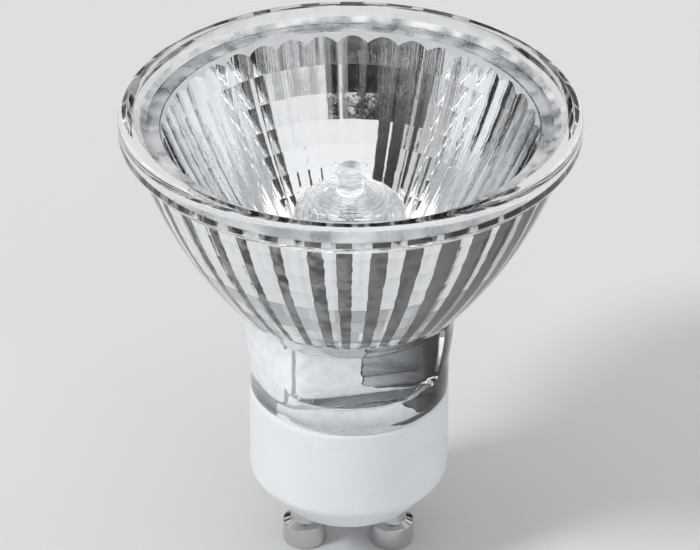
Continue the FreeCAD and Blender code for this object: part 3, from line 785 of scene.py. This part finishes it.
# Reflector: one piece of pressed glass. Its inside is 36 hollow flutes in eight rows of facets and is
# coated with aluminium, with the floor and the slot round the pinch. Outside it is clear and smooth, so
# it shows the coat's back, and in the neck the cement where that has taken the coat. The coat's back and
# the neck's coat carry painted reflections and painted shade.
flute_count = 36
flute_steps = 16
flute_turn = math.radians(4.5)
flute_rows = 8
row_ratio = 0.93
mirror_radius = 0.02022
mirror_floor_radius = 0.009986
flute_depth = 0.00010
ledge = 0.0544
mouth_radius = 0.02045
mouth_depth = 0.00030
arch_rise = 0.00069
mirror_top = 0.0543
mirror_bulge = 0.0009
bowl_floor = 0.0354
spigot_radius = 0.00918
spigot_bottom = 0.0170
collar_radius = 0.01115
collar_bottom = 0.02202
shelf = 0.0254
neck_top = 0.0326
neck_top_radius = 0.0118
flat_distance = 0.0073
flat_fillet = 0.0006
bowl_top = 0.0532
bowl_top_radius = 0.0235
rim_radius = 0.0250
rim_top = 0.0569
land_radius = 0.0240
bevel_radius = 0.0233
lens_recess_radius = 0.0225
lens_top = 0.0556
slot_widths = ((0.0170, 0.0074), (0.0226, 0.0075), (0.0236, 0.0088), (0.0246, 0.0091), (0.0354, 0.0093))
slot_depth_share = 0.63
slot_corner_share = 0.36
slot_heights = (0.0330, 0.0300, 0.0270, 0.0250, 0.0246, 0.0243, 0.0240, 0.0236, 0.0231, 0.0226, 0.0215)
coat_end = 0.0203
collar_middle = 0.0238
under_rim_top = 0.0547
rim_side = 0.0553
mouth_taper = (0.0004, 0.0014)
flat_undercut = 0.0002
flat_softness = 0.0005
step_round = 0.0003
small_fillet = 0.0001
mould_fillet = 0.0002
rim_fillet = 0.00098
neck_bulge = 0.0001
bowl_bulge = 0.00127
under_rim_bulge = 0.00015
# how painted reflections and painted shade streak the coat's back, by flutes, rows and noise, wider and more
# even to the right
blotch_scale = 650.0
painted_shadow_span = (-0.006, 0.010)
streak_start, start_spread = 0.08, 0.30
streak_width, wider_at_right, width_spread = 0.30, 0.30, 0.12
streak_waver = 0.16
blotchy_painted_shade = (0.40, 0.58, 0.04, 0.30)
even_shade, even_spread = 0.10, 0.12
clear_rows = 4.0
dimmest_painted_facet = 0.45
dash_rows, painted_dash_strength = 0.14, 0.3
back_gain = 1.08
# where cement has taken the coat in the neck, measured across it from its middle; the pale cement also
# stands in for a bright painted reflection, and the coat right of it is darkened as painted shade
bare_half_width = 0.00007
bare_tone = (0.04, 0.04, 0.045, 1)
grey_stripe_place = -0.0076
grey_stripe_half_width = 0.0002
grey_stripe_waver = 0.2
grey_stripe_tone = (0.42, 0.43, 0.45, 1)
painted_shade_fade = (0.001, 0.0075, 0.85, 0.06)
end_wall_start, end_wall_share = 0.0088, 0.5
ragged_scale = 900.0
ragged_reach = 0.0012
cement_mottle = (0.3, 0.6, 0.88)
coat_roughness, cement_roughness = 0.12, 0.72


def flute_section():
    """One flute's hollow arc as angles about the lamp's axis and its reach, which is 1 at a ridge.

    The arc passes through both ridges and the flute's deepest point, so its radius is
    (half chord squared plus height squared) over twice the height.
    """
    half_step = math.pi / flute_count
    depth = flute_depth / mirror_radius
    half_chord = math.sin(half_step)
    height = depth + 1 - math.cos(half_step)
    radius = (half_chord**2 + height**2) / (2 * height)
    middle = 1 + depth - radius
    widest = math.atan2(half_chord, math.cos(half_step) - middle)
    swing = np.linspace(-widest, widest, flute_steps + 1)[:-1]
    across, out = radius * np.sin(swing), middle + radius * np.cos(swing)
    return np.arctan2(across, out), np.hypot(across, out)


def bowed(start, end, bulge, shares):
    """Points at shares of an arc from start to end that bulges to the right of the way it runs."""
    start, end = np.array(start, float), np.array(end, float)
    chord = end - start
    length = np.linalg.norm(chord)
    side = np.array([chord[1], -chord[0]]) / length
    radius = (length**2 / 4 + bulge**2) / (2 * bulge)
    centre = (start + end) / 2 + side * (bulge - radius)
    half = math.asin(length / 2 / radius)
    swing = (2 * np.asarray(shares)[:, None] - 1) * half
    return centre + radius * (np.cos(swing) * side + np.sin(swing) * chord / length)


def ease(value):
    """Rises smoothly from 0 to 1 as the value does."""
    value = np.clip(value, 0, 1)
    return value * value * (3 - 2 * value)


def lesser(first, second, blend):
    """The lesser of two distances, with the change from one to the other rounded off."""
    share = np.clip(0.5 + 0.5 * (second - first) / blend, 0, 1)
    return second * (1 - share) + first * share - blend * share * (1 - share)


def slot_reach(angles, height, gap=0.0):
    """How far the neck's slot reaches at each angle: a rounded rectangle with a step near its foot."""
    width = float(np.interp(height, *np.transpose(slot_widths))) - gap
    return bar_radius(angles, width, width * slot_depth_share, width * slot_corner_share)


def reflector_rings():
    """All rings of the glass: up the outside, over the rim, down the flutes and the slot, and back.

    Also which bands between rings carry the mirror, and which rings are edges of facets.
    """
    flute_angles, flute_reach = flute_section()
    step = 2 * math.pi / flute_count
    starts = flute_turn + step * (np.arange(flute_count) + 0.5)
    angles = (starts[:, None] + flute_angles[None, :]).ravel()
    reach = np.tile(flute_reach, flute_count)
    across = np.abs(np.sin(angles - neck_turn))
    rings = []

    def add(radius, height):
        rings.append(around(radius, height, angles))

    def add_all(points):
        for radius, height in points:
            add(radius, height)

    def add_rounded(corners, fillet, steps=3):
        for before, corner, after in zip(corners, corners[1:], corners[2:]):
            add_all(rounded(before, corner, after, fillet, steps))

    add(spigot_radius - 0.0003, spigot_bottom)
    add(spigot_radius, spigot_bottom + 0.0003)
    add(spigot_radius, collar_bottom)
    collar_foot = (collar_radius, collar_bottom)
    add_rounded([(spigot_radius, collar_bottom), collar_foot, (collar_radius, shelf)], mould_fillet)
    add(collar_radius, collar_middle)
    flat_start = np.minimum(collar_radius, (flat_distance + flat_fillet) / across)
    flat = ease((collar_radius - flat_start) / flat_softness)
    for share in (0.0, 0.35, 0.7, 1.0):
        add(collar_radius - flat * flat_undercut * share**2, shelf - flat_undercut * (1 - share))
    for share in (0.15, 0.4, 0.7, 1.0):
        inward = collar_radius - flat * flat_undercut
        climb = (1 - flat) * step_round * share
        add(inward + (np.minimum(flat_start, inward) - inward) * share, shelf + climb)
    for share in np.linspace(0, 1, 6)[1:]:
        swing = share * math.pi / 2
        plane = flat_distance + flat_fillet * (1 - math.sin(swing))
        climb = flat * flat_fillet * (1 - math.cos(swing)) + (1 - flat) * step_round * (1 + share)
        add(lesser(collar_radius + 0.00002, plane / across, mould_fillet), shelf + climb)
    side = bowed((collar_radius, shelf), (neck_top_radius, neck_top), neck_bulge, np.linspace(0, 1, 9))
    ceiling = neck_top - 0.0001
    for height in np.linspace(shelf + flat_fillet, ceiling - flat_fillet, 5)[1:]:
        add(lesser(np.interp(height, side[:, 1], side[:, 0]), flat_distance / across, mould_fillet), height)
    high_radius = float(np.interp(ceiling, side[:, 1], side[:, 0]))
    top_start = np.minimum(high_radius, (flat_distance + flat_fillet) / across)
    top_flat = ease((high_radius - top_start) / flat_softness)
    for share in np.linspace(0, 1, 6)[1:]:
        swing = share * math.pi / 2
        plane = flat_distance + flat_fillet * (1 - math.cos(swing))
        climb = top_flat * flat_fillet * math.sin(swing) + (1 - top_flat) * step_round * share
        add(lesser(high_radius, plane / across, mould_fillet), ceiling - flat_fillet + climb)
    for share in (0.3, 0.6, 0.85, 1.0):
        drop = (1 - top_flat) * step_round * (1 - share)
        add(top_start + (high_radius - top_start) * share, ceiling - drop + 0.00002 * share)
    bowl_foot, bowl_end = (neck_top_radius, neck_top), (bowl_top_radius, bowl_top)
    rim_foot, rim_corner = (rim_radius, under_rim_top), (rim_radius, rim_top)
    land, bevel_top = (land_radius, rim_top), (bevel_radius, rim_top)
    recess_top, recess_foot = (lens_recess_radius, lens_top), (lens_recess_radius, ledge)
    mouth = (mouth_radius, ledge)
    mouth_foot = (mouth_radius - mouth_taper[0], ledge - mouth_taper[1])
    add_all(bowed(bowl_foot, bowl_end, bowl_bulge, np.linspace(0, 1, 24)))
    add_all(bowed(bowl_end, rim_foot, under_rim_bulge, (0.12, 0.5, 0.85)))
    add_rounded([bowl_end, rim_foot, rim_corner], mould_fillet)
    add(rim_radius, rim_side)
    add_rounded([rim_foot, rim_corner, land], rim_fillet, 9)
    add_rounded([land, bevel_top, recess_top], small_fillet, 4)
    add_rounded([bevel_top, recess_top, recess_foot, mouth, mouth_foot], small_fillet)
    shares = row_ratio ** np.arange(flute_rows)
    done = np.concatenate([[0], np.cumsum(shares)]) / shares.sum()
    ridge = bowed((mirror_floor_radius, bowl_floor), (mirror_radius, mirror_top), mirror_bulge, 1 - done)
    lean = (ridge[0, 0] - ridge[1, 0]) / (ridge[0, 1] - ridge[1, 1])
    arch = ledge - mouth_depth - arch_rise * (reach.max() - reach) / (reach.max() - reach.min())
    add((ridge[0, 0] + lean * (arch - mirror_top)) * reach, arch)
    first_mirror = len(rings) - 1
    for radius, height in ridge[1:]:
        add(radius * reach, height)
    edges = list(range(first_mirror, len(rings)))
    slot = slot_reach(angles - neck_turn, bowl_floor)
    add((mirror_floor_radius + slot) / 2, bowl_floor)
    for inset, drop in ((0.0002, 0.0), (0.00007, 0.00006), (0.0, 0.0003)):
        add(slot + inset, bowl_floor - drop)
    slot_top = len(rings) - 1
    for height in (*slot_heights, coat_end):
        add(slot_reach(angles - neck_turn, height), height)
    mirror = (first_mirror, slot_top, len(rings) - 1)
    add(slot_reach(angles - neck_turn, spigot_bottom), spigot_bottom + 0.0002)
    add(slot_reach(angles - neck_turn, spigot_bottom) + 0.0002, spigot_bottom)
    return np.stack(rings), mirror, edges


def keep_facet_edges(mesh, rings, edges):
    """Marks the level edges between the rows of facets as sharp, found by the rings of their ends."""
    ends = np.zeros(len(mesh.edges) * 2, int)
    mesh.edges.foreach_get("vertices", ends)
    sharp = np.zeros(len(mesh.edges), bool)
    mesh.attributes["sharp_edge"].data.foreach_get("value", sharp)
    ring = ends.reshape(-1, 2) // rings.shape[1]
    sharp |= (ring[:, 0] == ring[:, 1]) & np.isin(ring[:, 0], edges)
    mesh.attributes["sharp_edge"].data.foreach_set("value", sharp)


clear_glass = {"Transmission Weight": 1.0, "IOR": 1.5, "Roughness": 0.0}
reflector_glass = finish("pressed glass", {"Base Color": (0.975, 0.985, 0.99, 1), **clear_glass})
add_marks(reflector_glass, (260.0, 260.0, 160.0), 0.00003)
glow_when_trapped(reflector_glass, 0.4)
mirror_tone = (0.94, 0.95, 0.96, 1)
mirror_coat = finish("aluminium mirror", {"Base Color": mirror_tone, "Metallic": 1.0})
add_marks(mirror_coat, (1800.0, 1800.0, 70.0), 0.000006, dull=(0.01, 0.045))


def scale_tone(tree, colour, share):
    """A colour times a share."""
    return add_node(tree, "ShaderNodeVectorMath", {0: colour, "Scale": share}, operation="SCALE").outputs[0]


def paint_reflections_behind_glass(material, tone):
    """The coat's back, seen through the glass, with painted reflections and painted shade: a dull streak
    down each flute, blotches, dashes at the steps.

    Read from the piece's own map, where u counts flutes and v counts rows. Each flute draws its streak's
    place and width from noise of its own. Below the clear rows, facets are dimmed at random, and to the
    right the streaks are wider and of an even tone, a painted reflection of the floor's shadow.
    """
    tree = material.node_tree
    shader = tree.nodes["Principled BSDF"]
    place = add_node(tree, "ShaderNodeTexCoord")
    apart = add_node(tree, "ShaderNodeSeparateXYZ", {0: place.outputs["UV"]})
    flute, row = apart.outputs["X"], apart.outputs["Y"]
    blotch = noise_at(tree, place.outputs["Object"], blotch_scale, 4.0)
    number = calculate(tree, "FLOOR", flute)
    drawn = add_node(tree, "ShaderNodeTexWhiteNoise", {"W": number}, noise_dimensions="1D").outputs["Value"]
    side = add_node(tree, "ShaderNodeSeparateXYZ", {0: place.outputs["Object"]}).outputs["X"]
    into_painted_shadow = remap(tree, side, *painted_shadow_span)
    start = calculate(tree, "MULTIPLY_ADD", drawn, start_spread, streak_start)
    widest = calculate(tree, "MULTIPLY_ADD", into_painted_shadow, wider_at_right, streak_width)
    width = calculate(tree, "MULTIPLY_ADD", drawn, width_spread, widest)
    waver = calculate(tree, "MULTIPLY_ADD", blotch, streak_waver, -streak_waver / 2)
    across = calculate(tree, "ADD", calculate(tree, "SUBTRACT", flute, number), waver)
    after = calculate(tree, "GREATER_THAN", across, start)
    before = calculate(tree, "LESS_THAN", across, calculate(tree, "ADD", start, width))
    streak = calculate(tree, "MULTIPLY", after, before)
    dull = remap(tree, blotch, *blotchy_painted_shade)
    even = calculate(tree, "MULTIPLY_ADD", drawn, even_spread, even_shade)
    plain = blend(tree, into_painted_shadow, dull, even)
    facet = add_node(tree, "ShaderNodeCombineXYZ", {0: number, 1: calculate(tree, "FLOOR", row)})
    spot = {"Vector": facet.outputs[0]}
    facet_noise = add_node(tree, "ShaderNodeTexWhiteNoise", spot, noise_dimensions="2D").outputs["Value"]
    low = calculate(tree, "GREATER_THAN", row, clear_rows)
    dim = calculate(tree, "MULTIPLY", low, calculate(tree, "MULTIPLY", facet_noise, -dimmest_painted_facet))
    past_step = calculate(tree, "FRACT", calculate(tree, "ADD", row, dash_rows / 2))
    dash = calculate(tree, "MULTIPLY", calculate(tree, "LESS_THAN", past_step, dash_rows), dull)
    dashed = calculate(tree, "MULTIPLY", dash, painted_dash_strength)
    beside = calculate(tree, "SUBTRACT", calculate(tree, "ADD", dim, 1.0), dashed)
    shade = blend(tree, streak, beside, plain)
    change = calculate(tree, "MULTIPLY_ADD", shade, back_gain, -1.0)
    back = add_node(tree, "ShaderNodeNewGeometry").outputs["Backfacing"]
    kept = calculate(tree, "MULTIPLY_ADD", back, change, 1.0)
    tree.links.new(scale_tone(tree, tone[:3], kept), shader.inputs["Base Color"])


def map_of_flutes(mesh, rings, first):
    """The piece's own map: u is the column over the steps in a flute, v the ring below the mirror's top."""
    columns = rings.shape[1]
    row, column = np.divmod(np.arange(len(mesh.polygons)), columns)
    across = (column[:, None] + np.array([0, 1, 1, 0])) / flute_steps
    down = row[:, None] + np.array([0, 0, 1, 1]) - first
    made = mesh.uv_layers.new(name="flutes")
    made.data.foreach_set("uv", np.stack([across, down], axis=-1).astype(np.float32).ravel())


def smear_group():
    """Where cement has taken the slot's coat: left of a ragged line that leans over below the shelf.

    The line's place across the neck is the drop below the shelf times its lean, plus noise. Along it the
    glass is bare and dark, and a narrow grey stripe lies at the far left. The pale cement also stands in for
    a bright painted reflection. Right of the line the coat's tone, itself darkened, is painted shade: it
    falls to dark across the neck, standing in for a reflected shadow, and is lifted to half on the slot's
    end wall.
    """
    group, given = new_group(
        "cement smear",
        {"Shelf Height": "Float", "Lean": "Float", "Cement Tone": "Color", "Shaded Mirror Tone": "Color"},
        {"Tone": "Color", "Metallic": "Float", "Roughness": "Float", "Height": "Float"},
    )
    place = add_node(group, "ShaderNodeTexCoord").outputs["Object"]
    straight = {"Vector": place, "Angle": -neck_turn}
    along_neck = add_node(group, "ShaderNodeVectorRotate", straight, rotation_type="Z_AXIS").outputs[0]
    apart = add_node(group, "ShaderNodeSeparateXYZ", {0: along_neck})
    from_middle = apart.outputs["X"]
    coarse = noise_at(group, place, ragged_scale, 5.0)
    ragged = calculate(group, "MULTIPLY_ADD", coarse, ragged_reach, -ragged_reach / 2)
    drop = calculate(group, "SUBTRACT", given["Shelf Height"], apart.outputs["Z"])
    leaning = calculate(group, "MULTIPLY_ADD", calculate(group, "MAXIMUM", drop, 0.0), given["Lean"], ragged)
    side = calculate(group, "SUBTRACT", leaning, from_middle)
    smeared = calculate(group, "GREATER_THAN", side, 0.0)
    on_line = calculate(group, "LESS_THAN", calculate(group, "ABSOLUTE", side), bare_half_width)
    painted_fade = remap(group, from_middle, *painted_shade_fade)
    past_side = calculate(group, "GREATER_THAN", from_middle, end_wall_start)
    end_wall = calculate(group, "MULTIPLY", past_side, end_wall_share)
    painted_shade_mirror = scale_tone(group, given["Shaded Mirror Tone"], calculate(group, "MAXIMUM", painted_fade, end_wall))
    pale = scale_tone(group, given["Cement Tone"], remap(group, coarse, *cement_mottle))
    stripe = calculate(group, "MULTIPLY_ADD", ragged, grey_stripe_waver, grey_stripe_place)
    off_stripe = calculate(group, "ABSOLUTE", calculate(group, "SUBTRACT", from_middle, stripe))
    on_stripe = calculate(group, "LESS_THAN", off_stripe, grey_stripe_half_width)
    tone = mix_tones(group, smeared, painted_shade_mirror, pale)
    tone = mix_tones(group, on_stripe, tone, grey_stripe_tone)
    tone = mix_tones(group, on_line, tone, bare_tone)
    metallic = calculate(group, "SUBTRACT", 1.0, smeared)
    roughness = blend(group, smeared, coat_roughness, cement_roughness)
    return put_out(group, {"Tone": tone, "Metallic": metallic, "Roughness": roughness, "Height": coarse})


# painted reflections and painted shade on the coat's back, seen from outside through the glass
paint_reflections_behind_glass(mirror_coat, mirror_tone)
# the neck's coat: pale cement that also stands in for a bright painted reflection, and a darkened mirror
# tone that is painted shade
smeared_coat = finish("mirror coat with cement behind it", {})
apply_effect(
    smeared_coat,
    smear_group(),
    {
        "Shelf Height": shelf,
        "Lean": 1.25,
        "Cement Tone": (0.91, 0.93, 0.95, 1),
        # a mirror tone darkened as painted shade
        "Shaded Mirror Tone": (0.58, 0.60, 0.62, 1),
    },
    0.00003,
    {"Tone": "Base Color", "Roughness": "Roughness", "Metallic": "Metallic"},
)
glass_rings, mirror_bands, facet_edges = reflector_rings()
glass_quads = grid_of_quads(*glass_rings.shape[:2], wrap_rows=True)
glass_finishes = [reflector_glass, mirror_coat, smeared_coat]
reflector = make_piece("mirror_reflector", glass_rings, glass_quads, glass_finishes, 30.0)
first_mirror, slot_top, slot_end = (band * glass_rings.shape[1] for band in mirror_bands)
coated = np.zeros(len(reflector.data.polygons), np.int32)
coated[first_mirror:slot_top] = 1
coated[slot_top:slot_end] = 2
reflector.data.polygons.foreach_set("material_index", coated)
map_of_flutes(reflector.data, glass_rings, mirror_bands[0])
keep_facet_edges(reflector.data, glass_rings, facet_edges)
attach(reflector, "root")
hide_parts("glass_reflector")

# Cements: a white refractory paste, packed into the neck's slot round the pinch, and a ring of it
# between the glass spigot and the ceramic cup. It dries matt, with grains and small pits.
cement_bottom = 0.0203
cement_top = 0.0288
plug_heights = (0.0206, 0.0215, 0.0226, 0.0231, 0.0236, 0.0243, 0.0246, 0.0265)
cement_gap = 0.00002
creep_height = 0.0006
swell_height = 0.00012
plug_columns = 192
cement = finish("white cement", {"Specular IOR Level": 0.3})
add_grain(
    cement,
    sizes=(0.0004, 0.0018),
    light=(0.82, 0.84, 0.86),
    dark=(0.60, 0.62, 0.64),
    dull=(0.75, 0.95),
    depth=0.00012,
)


def cement_plug():
    """Rings of the plug from the middle of its foot to the middle of its top, which creeps up the wall."""
    angles = full_turn(plug_columns)
    rings = []

    def add(share, level, height):
        reach = slot_reach(angles, level, cement_gap) * share
        rings.append(around(reach, height, angles + neck_turn))

    for share in (0.0, 0.5, 0.93):
        add(share, cement_bottom, cement_bottom)
    for height in plug_heights:
        add(1.0, height, height)
    for share in (1.0, 0.93, 0.82, 0.68, 0.5, 0.3, 0.0):
        creep = creep_height * share**4 + swell_height * np.sin(7 * angles + 9 * share) * share
        add(share, cement_top, cement_top - creep_height + creep)
    return np.stack(rings)


plug_rings = cement_plug()
plug = make_piece("cement_plug", plug_rings, grid_of_quads(*plug_rings.shape[:2]), [cement], 50.0)
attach(plug, "root")
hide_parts("capsule_cement")
dress("base_cement", cement)

# Outer leads, sleeve and fuse: nickel wires from the foils down into the pins. One wears a braided
# glass-fibre sleeve, and the other has the small fuse in a glazed bead.
wire_nickel = finish("nickel wire", {"Base Color": (0.66, 0.655, 0.64, 1), "Metallic": 1.0})
add_marks(wire_nickel, (5000.0, 5000.0, 300.0), 0.000002, dull=(0.2, 0.34))
braid = finish("glass-fibre braid", {"Specular IOR Level": 0.4})
add_grain(
    braid,
    sizes=(0.00025, 0.0009),
    light=(0.80, 0.79, 0.75),
    dark=(0.62, 0.61, 0.58),
    dull=(0.6, 0.8),
    depth=0.00008,
)
bead_glaze = finish("fuse glaze", {"Coat Weight": 0.6, "Coat Roughness": 0.08})
add_grain(
    bead_glaze,
    sizes=(0.0005, 0.0015),
    light=(0.50, 0.44, 0.36),
    dark=(0.40, 0.35, 0.29),
    dull=(0.3, 0.45),
    depth=0.00001,
)
dress("outer_lead_left", wire_nickel)
dress("outer_lead_right", wire_nickel)
dress("lead_sleeve", braid)
dress("fuse_link", bead_glaze)

# Cover glass: a flat disc of clear tempered glass with its edges ground, lying on the reflector's
# ledge. It keeps fingers and dust off the capsule.
lens_radius = 0.02225
lens_bottom = 0.05449
lens_edge = 0.00015
cover_glass = finish("clear cover glass", {"Base Color": (0.99, 0.995, 1.0, 1), **clear_glass})
add_marks(cover_glass, (90.0, 90.0, 90.0), 0.000006)
lens_rings, lens_quads = turned(
    [
        (0.0, lens_bottom),
        (0.0110, lens_bottom),
        (lens_radius - lens_edge, lens_bottom),
        (lens_radius, lens_bottom + lens_edge),
        (lens_radius, lens_top - lens_edge),
        (lens_radius - lens_edge, lens_top),
        (0.0110, lens_top),
        (0.0, lens_top),
    ],
    240,
)
lens = make_piece("cover_disc", lens_rings, lens_quads, [cover_glass], 30.0)
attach(lens, "root")
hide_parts("front_lens")

# Bead: clear silicone run into the gap round the cover glass and smoothed up onto the rim's bevel.
# It holds the glass, and sets soft and slightly cloudy.
bead_top = 0.05595
silicone = finish("clear silicone", {"Transmission Weight": 0.55, "IOR": 1.41})
add_grain(
    silicone,
    sizes=(0.0020, 0.0040),
    light=(0.97, 0.98, 0.99),
    dark=(0.40, 0.42, 0.44),
    dull=(0.2, 0.45),
    depth=0.00001,
)
film_top = ledge + 0.00008
bead_rings, _ = turned(
    [
        (lens_radius + touch_gap, film_top),
        (mouth_radius + 0.00025, film_top),
        (mouth_radius + 0.00012, film_top - 0.00003),
        (mouth_radius + 0.00018, ledge + touch_gap),
        (lens_recess_radius - 0.00002, ledge + touch_gap),
        (lens_recess_radius - 0.00002, lens_top - 0.0002),
        (lens_recess_radius - 0.00001, lens_top + 0.0001),
        (lens_recess_radius + 0.00018, bead_top),
        (lens_recess_radius + 0.00008, bead_top + 0.00002),
        (lens_recess_radius - 0.00015, lens_top + 0.00016),
        (lens_radius - 0.0001, lens_top + 0.00006),
        (lens_radius - 0.00035, lens_top + touch_gap),
        (lens_radius - lens_edge, lens_top + touch_gap),
        (lens_radius + touch_gap, lens_top - lens_edge),
    ],
    240,
)
bead_quads = grid_of_quads(*bead_rings.shape[:2], wrap_rows=True)
bead = make_piece("sealing_bead", bead_rings, bead_quads, [silicone], 50.0)
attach(bead, "root")
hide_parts("lens_seal")
